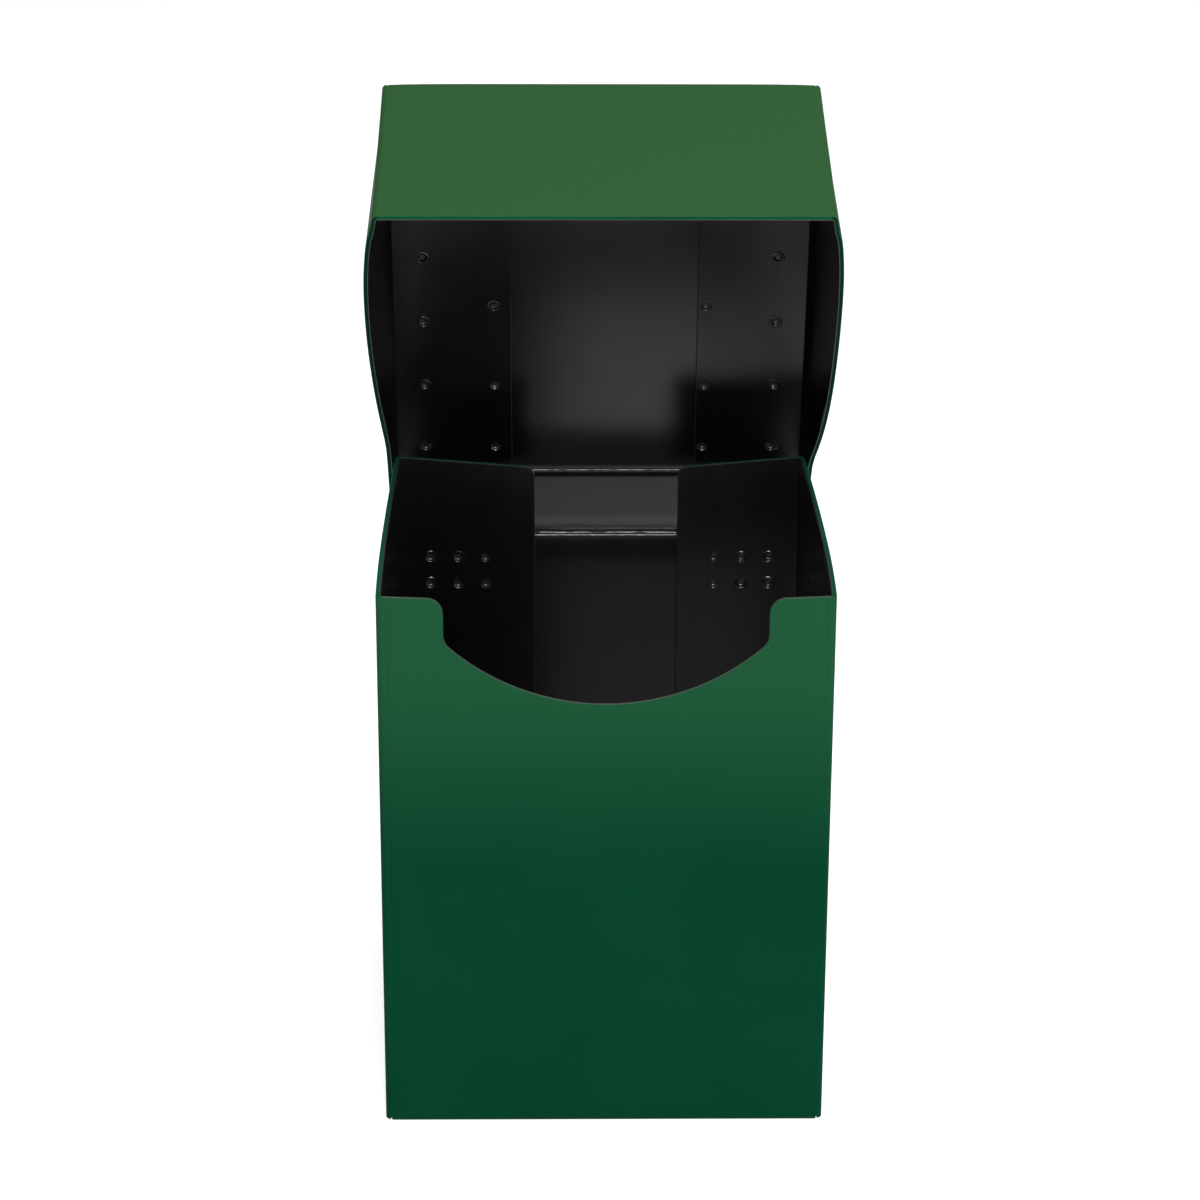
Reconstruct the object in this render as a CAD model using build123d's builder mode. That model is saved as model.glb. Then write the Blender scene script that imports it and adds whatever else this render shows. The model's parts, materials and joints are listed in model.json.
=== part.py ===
from build123d import *
import math
import os

os.makedirs("parts", exist_ok=True)

# ---------------- sizes, in millimetres and degrees

# The sheet that the whole box is folded from, and the inside radius of its folds.
sheet = 0.9
fold_inner = 0.1
fold_radius = fold_inner + sheet

# The box, over its outside faces.
body_width = 72.0
body_depth = 74.4
body_height = 92.0

# The rear crease that the lid swings on, measured down from the rim.
crease_drop = 14.4
crease_gap = 0.35
bead_radius = 0.3

# The thumb notch in the front panel.
notch_half_width = 25.5
notch_depth = 18.0
notch_wall_depth = 7.7
notch_mouth_radius = 2.6
notch_bend_radius = 3.0
shoulder_drop = 0.3

# The flaps inside the back panel.
left_rear_flap_inner_edge = 11.5
right_rear_flap_inner_edge = 13.7
rear_flap_drop = 1.8
rear_flap_corner_radius = 1.7
rear_flap_floor_gap = 2.0

# The flaps over the base.
bottom_flap_reach = 24.0
bottom_flap_end_gap = 0.8
bottom_flap_chamfer = 4.0

# Spot welds.
weld_radius = 0.75
weld_dimple = 0.3
rear_weld_pitch = 4.9
rear_weld_centre = 25.1
rear_weld_drop = 4.1
bottom_weld_pitch = 16.0

# The lid.
lid_side_clearance = 0.25
lid_front_clearance = 2.7
lid_headroom = 2.2
lid_flap_length = 43.0
lid_flap_lean = 3.3
lid_side_rear_length = 14.0
lid_side_rear_gap = 0.5
lid_side_splay = 3.2
lid_top_inset = 0.3
left_tab_inner_edge = 15.6
right_tab_inner_edge = 17.2
tab_rear_gap = 2.5
tab_front_gap = 1.6
tab_corner_radius = 1.5
lid_weld_outer_column = 31.0
lid_weld_inner_column = 18.6
lid_weld_pitch = 12.8
lid_weld_start = 6.0
lid_weld_rows = 6
lid_weld_third_inner = 34.8

# How far the lid stands open: the strip from upright, and the top from level.
strip_open = 73.0
top_open = 75.6

# ---------------- sizes that follow from those

half_width = body_width / 2
half_depth = body_depth / 2
flat_half_width = half_width - fold_radius
crease_height = body_height - crease_drop
rear_flap_face = half_depth - 2 * sheet
lid_half_width = half_width + lid_side_clearance + sheet
lid_flat_half_width = lid_half_width - fold_radius
lid_length = body_depth - sheet + lid_front_clearance + sheet
strip_length = crease_drop + sheet + lid_headroom

# ---------------- the two planes the lid is built on

# The strip's plane lies on its outside face, with its origin on the lower crease.
strip_angle = math.radians(strip_open)
strip_plane = Plane(
    origin=(0, half_depth, crease_height),
    x_dir=(1, 0, 0),
    z_dir=(0, -math.cos(strip_angle), math.sin(strip_angle)),
)

# The lid's plane lies on the inside face of its top, with its origin on the upper crease.
top_angle = math.radians(top_open)
upper_crease = strip_plane.from_local_coords((0, strip_length, sheet))
lid_plane = Plane(
    origin=upper_crease,
    x_dir=(1, 0, 0),
    z_dir=(0, math.sin(top_angle), math.cos(top_angle)),
)


def lid_level(height):
    """The lid's own plan, raised towards its outside."""
    return lid_plane.offset(height)


def lid_upright(distance):
    """A plane across the lid that faces its front, this far forward of the upper crease."""
    origin = lid_plane.from_local_coords((0, -distance, 0))
    return Plane(origin=origin, x_dir=lid_plane.x_dir, z_dir=-lid_plane.y_dir)


def lid_section(side_distance):
    """A plane along the lid, square to its sides."""
    origin = lid_plane.from_local_coords((side_distance, 0, 0))
    return Plane(origin=origin, x_dir=lid_plane.y_dir, z_dir=lid_plane.x_dir)


def rear_weld_points(side):
    """Centres of one rear flap's six welds, as (across, up)."""
    points = []
    for row in range(2):
        for column in range(-1, 2):
            across = side * (rear_weld_centre + column * rear_weld_pitch)
            points.append((across, crease_height - rear_weld_drop - row * rear_weld_pitch))
    return points


def bottom_weld_points(side):
    """Centres of one bottom flap's welds, as (across, back)."""
    across = side * (flat_half_width - bottom_flap_reach / 2)
    return [(across, step * bottom_weld_pitch) for step in (-1, 0, 1)]


def lid_weld_points(side):
    """Centres of one lid tab's welds on the lid's plan, as (across, back)."""
    points = []
    for row in range(lid_weld_rows):
        points.append((side * lid_weld_outer_column, -lid_weld_start - row * lid_weld_pitch))
    for distance in (lid_weld_start, lid_weld_start + lid_weld_pitch, lid_weld_third_inner):
        points.append((side * lid_weld_inner_column, -distance))
    return points


# ---------------- front panel

front_face = Plane.XZ.offset(half_depth)
with BuildPart() as front_panel:
    with BuildSketch(front_face):
        with BuildLine():
            Polyline(
                (-flat_half_width, fold_radius),
                (flat_half_width, fold_radius),
                (flat_half_width, body_height),
                (notch_half_width, body_height - shoulder_drop),
                (notch_half_width, body_height - notch_wall_depth),
            )
            ThreePointArc(
                (notch_half_width, body_height - notch_wall_depth),
                (0, body_height - notch_depth),
                (-notch_half_width, body_height - notch_wall_depth),
            )
            Polyline(
                (-notch_half_width, body_height - notch_wall_depth),
                (-notch_half_width, body_height - shoulder_drop),
                (-flat_half_width, body_height),
                (-flat_half_width, fold_radius),
            )
        make_face()
    extrude(amount=-sheet)
    upright_edges = front_panel.edges().filter_by(Axis.Y)
    notch_edges = upright_edges.filter_by(lambda edge: abs(abs(edge.center().X) - notch_half_width) < 0.01)
    fillet(notch_edges.group_by(Axis.Z)[-1], notch_mouth_radius)
    upright_edges = front_panel.edges().filter_by(Axis.Y)
    notch_edges = upright_edges.filter_by(lambda edge: abs(abs(edge.center().X) - notch_half_width) < 0.01)
    fillet(notch_edges.group_by(Axis.Z)[0], notch_bend_radius)
front_panel.part.label = "front_panel"
export_step(front_panel.part, "parts/front_panel.step")

# ---------------- side panels, with their front corner folds

side_rear_end = half_depth - sheet - fold_radius
side_front_end = -half_depth + fold_radius
side_foot = sheet + fold_radius

for side in (-1, 1):
    with BuildPart() as side_panel:
        with BuildSketch(Plane.XY.offset(side_foot)):
            with Locations((side * (half_width - sheet / 2), (side_rear_end + side_front_end) / 2)):
                Rectangle(sheet, side_rear_end - side_front_end)
            with BuildLine():
                outside = CenterArc((side * flat_half_width, side_front_end), fold_radius, -90, side * 90)
                inside = CenterArc((side * flat_half_width, side_front_end), fold_inner, -90, side * 90)
                Line(outside @ 0, inside @ 0)
                Line(outside @ 1, inside @ 1)
            make_face()
        extrude(amount=body_height - side_foot)
    side_name = "left_side_panel" if side < 0 else "right_side_panel"
    side_panel.part.label = side_name
    export_step(side_panel.part, "parts/" + side_name + ".step")

# ---------------- rear flaps, inside the back panel

rear_flap_foot = sheet + fold_radius + rear_flap_floor_gap
for side in (-1, 1):
    inner_edge = left_rear_flap_inner_edge if side < 0 else right_rear_flap_inner_edge
    with BuildPart() as rear_flap:
        with BuildSketch(Plane.XY.offset(rear_flap_foot)):
            with BuildLine():
                outside = CenterArc((side * flat_half_width, side_rear_end), fold_radius, 90, -side * 90)
                inside = CenterArc((side * flat_half_width, side_rear_end), fold_inner, 90, -side * 90)
                Line(outside @ 0, inside @ 0)
                Line(outside @ 1, inside @ 1)
            make_face()
            with Locations((side * (flat_half_width + inner_edge) / 2, half_depth - 1.5 * sheet)):
                Rectangle(flat_half_width - inner_edge, sheet)
        extrude(amount=body_height - rear_flap_foot)
        # The top edge falls from the corner towards the middle.
        with BuildSketch(Plane.XZ.offset(-half_depth)):
            with BuildLine():
                Polyline(
                    (side * flat_half_width, body_height),
                    (side * inner_edge, body_height - rear_flap_drop),
                    (side * (inner_edge - 5), body_height - rear_flap_drop),
                    (side * (inner_edge - 5), body_height + 5),
                    (side * flat_half_width, body_height + 5),
                    (side * flat_half_width, body_height),
                )
            make_face()
        extrude(amount=4 * sheet, mode=Mode.SUBTRACT)
        free_corners = rear_flap.edges().filter_by(Axis.Y).sort_by(Axis.X)
        end_corners = free_corners[-2:] if side < 0 else free_corners[:2]
        fillet(end_corners, rear_flap_corner_radius)
        with BuildSketch(Plane.XZ.offset(-half_depth)):
            with Locations(*rear_weld_points(side)):
                Circle(weld_radius)
        extrude(amount=4 * sheet, mode=Mode.SUBTRACT)
    flap_name = "left_rear_flap" if side < 0 else "right_rear_flap"
    rear_flap.part.label = flap_name
    export_step(rear_flap.part, "parts/" + flap_name + ".step")

    with BuildPart() as rear_welds:
        with BuildSketch(Plane.XZ.offset(-half_depth)):
            with Locations(*rear_weld_points(side)):
                Circle(weld_radius)
        extrude(amount=2 * sheet - weld_dimple)
    weld_name = "left_rear_welds" if side < 0 else "right_rear_welds"
    rear_welds.part.label = weld_name
    export_step(rear_welds.part, "parts/" + weld_name + ".step")

# ---------------- back panel

with BuildPart() as back_panel:
    with BuildSketch(Plane.XZ.offset(-half_depth)):
        with Locations((0, (fold_radius + crease_height - crease_gap) / 2)):
            Rectangle(2 * flat_half_width, crease_height - crease_gap - fold_radius)
        with Locations(*rear_weld_points(-1), *rear_weld_points(1)):
            Circle(weld_radius, mode=Mode.SUBTRACT)
    extrude(amount=sheet)
back_panel.part.label = "back_panel"
export_step(back_panel.part, "parts/back_panel.step")

# ---------------- bottom panel, with its front and rear folds

with BuildPart() as bottom_panel:
    with BuildSketch(Plane.YZ.offset(-flat_half_width)):
        for end in (-1, 1):
            with BuildLine():
                fold_centre = (end * (half_depth - fold_radius), fold_radius)
                outside = CenterArc(fold_centre, fold_radius, -90, end * 90)
                inside = CenterArc(fold_centre, fold_inner, -90, end * 90)
                Line(outside @ 0, inside @ 0)
                Line(outside @ 1, inside @ 1)
            make_face()
        with Locations((0, sheet / 2)):
            Rectangle(2 * (half_depth - fold_radius), sheet)
    extrude(amount=2 * flat_half_width)
    with BuildSketch(Plane.XY):
        with Locations(*bottom_weld_points(-1), *bottom_weld_points(1)):
            Circle(weld_radius)
    extrude(amount=sheet, mode=Mode.SUBTRACT)
bottom_panel.part.label = "bottom_panel"
export_step(bottom_panel.part, "parts/bottom_panel.step")

# ---------------- bottom flaps, folded in over the base

bottom_flap_front = -half_depth + sheet + bottom_flap_end_gap
bottom_flap_back = rear_flap_face - bottom_flap_end_gap
bottom_flap_end = flat_half_width - bottom_flap_reach
for side in (-1, 1):
    with BuildPart() as bottom_flap:
        with BuildSketch(Plane.XZ.offset(-bottom_flap_back)):
            with BuildLine():
                outside = CenterArc((side * flat_half_width, side_foot), fold_radius, -90, side * 90)
                inside = CenterArc((side * flat_half_width, side_foot), fold_inner, -90, side * 90)
                Line(outside @ 0, inside @ 0)
                Line(outside @ 1, inside @ 1)
            make_face()
            with Locations((side * (flat_half_width + bottom_flap_end) / 2, 1.5 * sheet)):
                Rectangle(bottom_flap_reach, sheet)
        extrude(amount=bottom_flap_back - bottom_flap_front)
        flap_corners = bottom_flap.edges().filter_by(Axis.Z).sort_by(Axis.X)
        end_corners = flap_corners[-2:] if side < 0 else flap_corners[:2]
        chamfer(end_corners, bottom_flap_chamfer)
        with BuildSketch(Plane.XY):
            with Locations(*bottom_weld_points(side)):
                Circle(weld_radius)
        extrude(amount=3 * sheet, mode=Mode.SUBTRACT)
    flap_name = "left_bottom_flap" if side < 0 else "right_bottom_flap"
    bottom_flap.part.label = flap_name
    export_step(bottom_flap.part, "parts/" + flap_name + ".step")

    with BuildPart() as bottom_welds:
        with BuildSketch(Plane.XY):
            with Locations(*bottom_weld_points(side)):
                Circle(weld_radius)
        extrude(amount=2 * sheet - weld_dimple)
    weld_name = "left_bottom_welds" if side < 0 else "right_bottom_welds"
    bottom_welds.part.label = weld_name
    export_step(bottom_welds.part, "parts/" + weld_name + ".step")

# ---------------- living hinges, on the axes the lid swings about

with BuildPart() as lower_living_hinge:
    with BuildSketch(Plane.YZ.offset(-flat_half_width)):
        with Locations((half_depth, crease_height)):
            Circle(bead_radius)
    extrude(amount=2 * flat_half_width)
lower_living_hinge.part.label = "lower_living_hinge"
export_step(lower_living_hinge.part, "parts/lower_living_hinge.step")

with BuildPart() as upper_living_hinge:
    with BuildSketch(lid_section(-flat_half_width)):
        Circle(bead_radius)
    extrude(amount=2 * flat_half_width)
upper_living_hinge.part.label = "upper_living_hinge"
export_step(upper_living_hinge.part, "parts/upper_living_hinge.step")

# ---------------- lid's back strip, between the creases

with BuildPart() as lid_back_panel:
    with BuildSketch(strip_plane):
        with Locations((0, strip_length / 2)):
            Rectangle(2 * flat_half_width, strip_length - 2 * crease_gap)
    extrude(amount=sheet)
lid_back_panel.part.label = "lid_back_panel"
export_step(lid_back_panel.part, "parts/lid_back_panel.step")

# ---------------- lid top

lid_fold_line = lid_length - fold_radius
with BuildPart() as lid_top_panel:
    with BuildSketch(lid_plane):
        with Locations((0, -(crease_gap + lid_fold_line) / 2)):
            Rectangle(2 * (lid_half_width - lid_top_inset), lid_fold_line - crease_gap)
        with Locations(*lid_weld_points(-1), *lid_weld_points(1)):
            Circle(weld_radius, mode=Mode.SUBTRACT)
    extrude(amount=sheet)
lid_top_panel.part.label = "lid_top_panel"
export_step(lid_top_panel.part, "parts/lid_top_panel.step")

# ---------------- lid front flap, with its fold to the top

# The flap leans in a little as it hangs, so its own plane turns about the fold's centre line.
flap_angle = math.radians(top_open - lid_flap_lean)
flap_height = lid_flap_length - fold_radius
flap_plane = Plane(
    origin=lid_plane.from_local_coords((0, -lid_fold_line, sheet - fold_radius)),
    x_dir=lid_plane.x_dir,
    z_dir=(0, math.sin(flap_angle), math.cos(flap_angle)),
)
with BuildPart() as lid_front_flap:
    with BuildSketch(lid_section(-lid_flat_half_width)):
        with BuildLine():
            fold_centre = (-lid_fold_line, sheet - fold_radius)
            outside = CenterArc(fold_centre, fold_radius, 90, 90 + lid_flap_lean)
            inside = CenterArc(fold_centre, fold_inner, 90, 90 + lid_flap_lean)
            Line(outside @ 0, inside @ 0)
            Line(outside @ 1, inside @ 1)
        make_face()
    extrude(amount=2 * lid_flat_half_width)
    with BuildSketch(flap_plane):
        with Locations((0, sheet / 2 - fold_radius)):
            Rectangle(2 * lid_flat_half_width, sheet)
    extrude(amount=-flap_height)
lid_front_flap.part.label = "lid_front_flap"
export_step(lid_front_flap.part, "parts/lid_front_flap.step")

# ---------------- lid sides, with their corner folds

side_top = -fold_radius
side_rear = -lid_side_rear_gap
side_low_rear = sheet - lid_side_rear_length
lean = math.radians(lid_flap_lean)
fold_foot = -lid_fold_line + flap_height * math.sin(lean)
side_low_front = sheet - fold_radius - flap_height * math.cos(lean)
fold_top = -lid_fold_line + (sheet - fold_radius - side_top) * math.tan(lean)
corner_top = (sheet - fold_radius - side_top) / math.cos(lean)
for side in (-1, 1):
    outer_face = side * lid_half_width
    inner_face = side * (lid_half_width - sheet)
    middle = (fold_foot + side_rear) / 2
    splay = side * lid_side_splay
    with BuildPart() as lid_side:
        # The sheet runs straight along the top fold and springs outwards towards its free edge.
        with BuildSketch(lid_level(side_top)):
            with BuildLine():
                outside = Line((outer_face, fold_top), (outer_face, side_rear))
                inside = Line((inner_face, fold_top), (inner_face, side_rear))
                Line(outside @ 0, inside @ 0)
                Line(outside @ 1, inside @ 1)
            make_face()
        with BuildSketch(lid_level(side_low_front)):
            with BuildLine():
                outside = ThreePointArc(
                    (outer_face, fold_foot), (outer_face + splay, middle), (outer_face, side_rear)
                )
                inside = ThreePointArc(
                    (inner_face, fold_foot), (inner_face + splay, middle), (inner_face, side_rear)
                )
                Line(outside @ 0, inside @ 0)
                Line(outside @ 1, inside @ 1)
            make_face()
        loft(ruled=True)
        with BuildSketch(lid_section(outer_face + splay)):
            with BuildLine():
                Polyline(
                    (fold_top, side_top),
                    (side_rear, side_top),
                    (side_rear, side_low_rear),
                    (fold_foot, side_low_front),
                    (fold_top, side_top),
                )
            make_face()
        extrude(amount=inner_face - outer_face - splay, mode=Mode.INTERSECT)
        with BuildSketch(flap_plane.offset(-corner_top)):
            with BuildLine():
                outside = CenterArc((side * lid_flat_half_width, 0), fold_radius, -90, side * 90)
                inside = CenterArc((side * lid_flat_half_width, 0), fold_inner, -90, side * 90)
                Line(outside @ 0, inside @ 0)
                Line(outside @ 1, inside @ 1)
            make_face()
        extrude(amount=corner_top - flap_height)
    side_name = "lid_left_side" if side < 0 else "lid_right_side"
    lid_side.part.label = side_name
    export_step(lid_side.part, "parts/" + side_name + ".step")

# ---------------- lid tabs, folded in under the top

tab_length = lid_fold_line - tab_rear_gap - tab_front_gap
for side in (-1, 1):
    inner_edge = left_tab_inner_edge if side < 0 else right_tab_inner_edge
    with BuildPart() as lid_tab:
        with BuildSketch(lid_upright(tab_rear_gap)):
            with BuildLine():
                outside = CenterArc((side * lid_flat_half_width, side_top), fold_radius, 90, -side * 90)
                inside = CenterArc((side * lid_flat_half_width, side_top), fold_inner, 90, -side * 90)
                Line(outside @ 0, inside @ 0)
                Line(outside @ 1, inside @ 1)
            make_face()
            with Locations((side * (lid_flat_half_width + inner_edge) / 2, -sheet / 2)):
                Rectangle(lid_flat_half_width - inner_edge, sheet)
        extrude(amount=tab_length)
        tab_corners = lid_tab.edges().filter_by(Axis(lid_plane.origin, lid_plane.z_dir)).sort_by(Axis.X)
        end_corners = tab_corners[-2:] if side < 0 else tab_corners[:2]
        fillet(end_corners, tab_corner_radius)
        with BuildSketch(lid_level(-2 * sheet)):
            with Locations(*lid_weld_points(side)):
                Circle(weld_radius)
        extrude(amount=2 * sheet, mode=Mode.SUBTRACT)
    tab_name = "lid_left_tab" if side < 0 else "lid_right_tab"
    lid_tab.part.label = tab_name
    export_step(lid_tab.part, "parts/" + tab_name + ".step")

    with BuildPart() as lid_welds:
        with BuildSketch(lid_level(sheet)):
            with Locations(*lid_weld_points(side)):
                Circle(weld_radius)
        extrude(amount=weld_dimple - 2 * sheet)
    weld_name = "lid_left_welds" if side < 0 else "lid_right_welds"
    lid_welds.part.label = weld_name
    export_step(lid_welds.part, "parts/" + weld_name + ".step")
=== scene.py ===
import json
import math
import random

import bmesh
import bpy
from mathutils import Matrix, Vector
from mathutils.geometry import delaunay_2d_cdt


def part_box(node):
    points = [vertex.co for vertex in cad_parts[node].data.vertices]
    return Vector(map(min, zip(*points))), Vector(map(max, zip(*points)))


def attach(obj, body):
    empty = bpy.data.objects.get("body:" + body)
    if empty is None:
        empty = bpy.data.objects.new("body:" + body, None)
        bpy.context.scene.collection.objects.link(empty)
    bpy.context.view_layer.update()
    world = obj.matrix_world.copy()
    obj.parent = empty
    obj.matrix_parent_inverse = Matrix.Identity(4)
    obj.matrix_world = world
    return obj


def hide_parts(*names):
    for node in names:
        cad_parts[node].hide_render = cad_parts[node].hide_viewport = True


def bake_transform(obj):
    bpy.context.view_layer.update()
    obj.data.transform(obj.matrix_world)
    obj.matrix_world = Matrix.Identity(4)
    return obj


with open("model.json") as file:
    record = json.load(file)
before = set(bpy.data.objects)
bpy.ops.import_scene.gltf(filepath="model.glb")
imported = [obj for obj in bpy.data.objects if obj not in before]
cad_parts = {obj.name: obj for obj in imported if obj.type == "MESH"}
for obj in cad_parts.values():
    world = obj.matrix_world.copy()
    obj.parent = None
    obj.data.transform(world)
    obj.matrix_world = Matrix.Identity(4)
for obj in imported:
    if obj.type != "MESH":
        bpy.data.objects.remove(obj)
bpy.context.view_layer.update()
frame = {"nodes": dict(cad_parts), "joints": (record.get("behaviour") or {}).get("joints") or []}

# Meshes are worked out in millimetres and written in metres.
MM = 0.001
SHEET = 0.9
EDGE_BEVEL = 0.11
LINING = 0.15
FOLD_OUTER = 1.0
FOLD_ARC = FOLD_OUTER * math.pi / 2
FOLD_STEPS = 7


# ---------------------------------------------------------------- places, from the frame

def node_box(node):
    """A CAD node's lowest and highest corners, in millimetres."""
    low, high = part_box(node)
    return low / MM, high / MM


def joint_point(name):
    """A joint's place, in millimetres."""
    joint = next(j for j in frame["joints"] if j["name"] == name)
    return Vector(joint["pos_m"]) / MM


def slab_tilt(node):
    """The angle from level of a flat panel, from its box and the sheet's thickness."""
    low, high = node_box(node)
    deep, tall = high.y - low.y, high.z - low.z
    angle = math.atan2(tall, deep)
    for _ in range(20):
        angle = math.atan2(tall - SHEET * math.cos(angle), deep - SHEET * math.sin(angle))
    return angle


front_low, front_high = node_box("front_panel")
HALF_FLAT = front_high.x
HALF_WIDTH = HALF_FLAT + FOLD_OUTER
HALF_DEPTH = -front_low.y
RIM = front_high.z
BASE_FOLD = front_low.z
CREASE_END = node_box("back_panel")[1].z

LOWER_CREASE = joint_point("lower_crease")
UPPER_CREASE = joint_point("upper_crease")
CREASE_GAP = LOWER_CREASE.z - CREASE_END
crease_run = UPPER_CREASE - LOWER_CREASE
STRIP_LENGTH = math.sqrt(crease_run.length_squared - SHEET ** 2)
STRIP_OPEN = math.atan2(crease_run.y, crease_run.z) + math.atan2(SHEET, STRIP_LENGTH)
TOP_OPEN = slab_tilt("lid_top_panel")

# The lid's own frame: x across, y back, z out, with its origin on the upper crease.
LID = Matrix.Translation(UPPER_CREASE) @ Matrix.Rotation(-TOP_OPEN, 4, "X")
# The strip's own frame: x across, y up along the strip, z inwards, from the lower crease.
STRIP = Matrix.Translation(LOWER_CREASE) @ Matrix.Rotation(math.pi / 2 - STRIP_OPEN, 4, "X")


def lid_box(node):
    """A CAD node's corners in the lid's own frame."""
    inverse = LID.inverted()
    points = [inverse @ (vertex.co / MM) for vertex in frame["nodes"][node].data.vertices]
    low = Vector([min(point[axis] for point in points) for axis in range(3)])
    high = Vector([max(point[axis] for point in points) for axis in range(3)])
    return low, high


LID_SIDE_TOP = lid_box("lid_right_side")[1].z
LID_HALF_FLAT = lid_box("lid_front_flap")[1].x
LID_HALF_WIDTH = LID_HALF_FLAT + FOLD_OUTER
LID_FOLD = -lid_box("lid_top_panel")[0].y
# The lid's drop from its top to its free edge, at the front and at the rear, and how far the flap leans.
FLAP_HEIGHT = 42.0
REAR_TAPER = 14.0
FLAP_LEAN = math.radians(3.3)


# ---------------------------------------------------------------- sheet geometry

def corner_arc(centre, radius, start, end, steps):
    """Points on an arc, angles in degrees."""
    points = []
    for step in range(steps + 1):
        angle = math.radians(start + (end - start) * step / steps)
        points.append((centre[0] + radius * math.cos(angle), centre[1] + radius * math.sin(angle)))
    return points


def rounded(points, radii, steps=5):
    """A polygon with its corners rounded; a radius of zero leaves the corner sharp."""
    outline = []
    count = len(points)
    for index, (point, radius) in enumerate(zip(points, radii)):
        if radius == 0:
            outline.append(tuple(point))
            continue
        here = Vector(point)
        before = (Vector(points[index - 1]) - here).normalized()
        after = (Vector(points[(index + 1) % count]) - here).normalized()
        half = before.angle(after) / 2
        centre = here + (before + after).normalized() * radius / math.sin(half)
        first = here + before * radius / math.tan(half)
        last = here + after * radius / math.tan(half)
        a0 = math.atan2(first.y - centre.y, first.x - centre.x)
        a1 = math.atan2(last.y - centre.y, last.x - centre.x)
        turn = (a1 - a0 + math.pi) % (2 * math.pi) - math.pi
        for step in range(steps + 1):
            angle = a0 + turn * step / steps
            outline.append((centre.x + radius * math.cos(angle), centre.y + radius * math.sin(angle)))
    return outline


def circle(centre, radius, steps=18):
    """A hole's outline, clockwise."""
    angles = [-math.tau * k / steps for k in range(steps)]
    return [(centre[0] + radius * math.cos(a), centre[1] + radius * math.sin(a)) for a in angles]


def spaced(low, high, step):
    """Evenly spaced values from low to high, about a step apart."""
    count = max(1, round((high - low) / step))
    return [low + (high - low) * k / count for k in range(count + 1)]


def fold_lines(flat_lines, arc=FOLD_ARC):
    """Mesh lines across a fold, followed by those of the flat beyond it."""
    return [-arc + arc * k / FOLD_STEPS for k in range(FOLD_STEPS)] + list(flat_lines)


def divided(outline, u_lines, v_lines):
    """The outline with a point wherever it crosses a mesh line."""
    points = []
    for (u0, v0), (u1, v1) in zip(outline, outline[1:] + outline[:1]):
        shares = {0.0}
        if abs(u1 - u0) > 1e-6:
            shares |= {(line - u0) / (u1 - u0) for line in u_lines}
        if abs(v1 - v0) > 1e-6:
            shares |= {(line - v0) / (v1 - v0) for line in v_lines}
        length = math.hypot(u1 - u0, v1 - v0)
        margin = 0.02 / max(length, 0.02)
        kept = sorted(share for share in shares if share == 0 or margin < share < 1 - margin)
        points += [(u0 + (u1 - u0) * share, v0 + (v1 - v0) * share) for share in kept]
    return points


def inset(outline, seam, amount):
    """The outline moved into the sheet by the bevel, except along the seams, where sheet goes on."""
    result = []
    for index, point in enumerate(outline):
        before, after = outline[index - 1], outline[(index + 1) % len(outline)]
        edges = []
        for start, end in ((before, point), (point, after)):
            length = math.hypot(end[0] - start[0], end[1] - start[1])
            normal = (-(end[1] - start[1]) / length, (end[0] - start[0]) / length)
            middle = ((start[0] + end[0]) / 2, (start[1] + end[1]) / 2)
            edges.append((normal, 0.0 if seam(*middle) else amount))
        (n1, d1), (n2, d2) = edges
        cross = n1[0] * n2[1] - n1[1] * n2[0]
        if abs(cross) < 0.05:
            shift = (n1[0] * (d1 + d2) / 2, n1[1] * (d1 + d2) / 2)
        else:
            shift = ((d1 * n2[1] - d2 * n1[1]) / cross, (d2 * n1[0] - d1 * n2[0]) / cross)
        result.append((point[0] + shift[0], point[1] + shift[1]))
    return result


def inside(point, outline):
    """Whether a point is inside a closed outline."""
    hit = False
    u, v = point
    for (u0, v0), (u1, v1) in zip(outline, outline[1:] + outline[:1]):
        if (v0 > v) != (v1 > v) and u < (u1 - u0) * (v - v0) / (v1 - v0) + u0:
            hit = not hit
    return hit


def clear_of(point, outline, gap):
    """Whether a point is farther than the gap from every point of an outline."""
    return all((point[0] - u) ** 2 + (point[1] - v) ** 2 > gap * gap for u, v in outline)


def no_seam(u, v):
    """A seam test for a sheet whose edges are all cut."""
    return False


def rectangle(u0, v0, u1, v1):
    """A rectangle, anticlockwise from its lowest corner."""
    return [(u0, v0), (u1, v0), (u1, v1), (u0, v1)]


# A sheet's material slots.
OUTSIDE, CUT_EDGE, INSIDE, LINING_EDGE, PRESSED = range(5)


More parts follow.
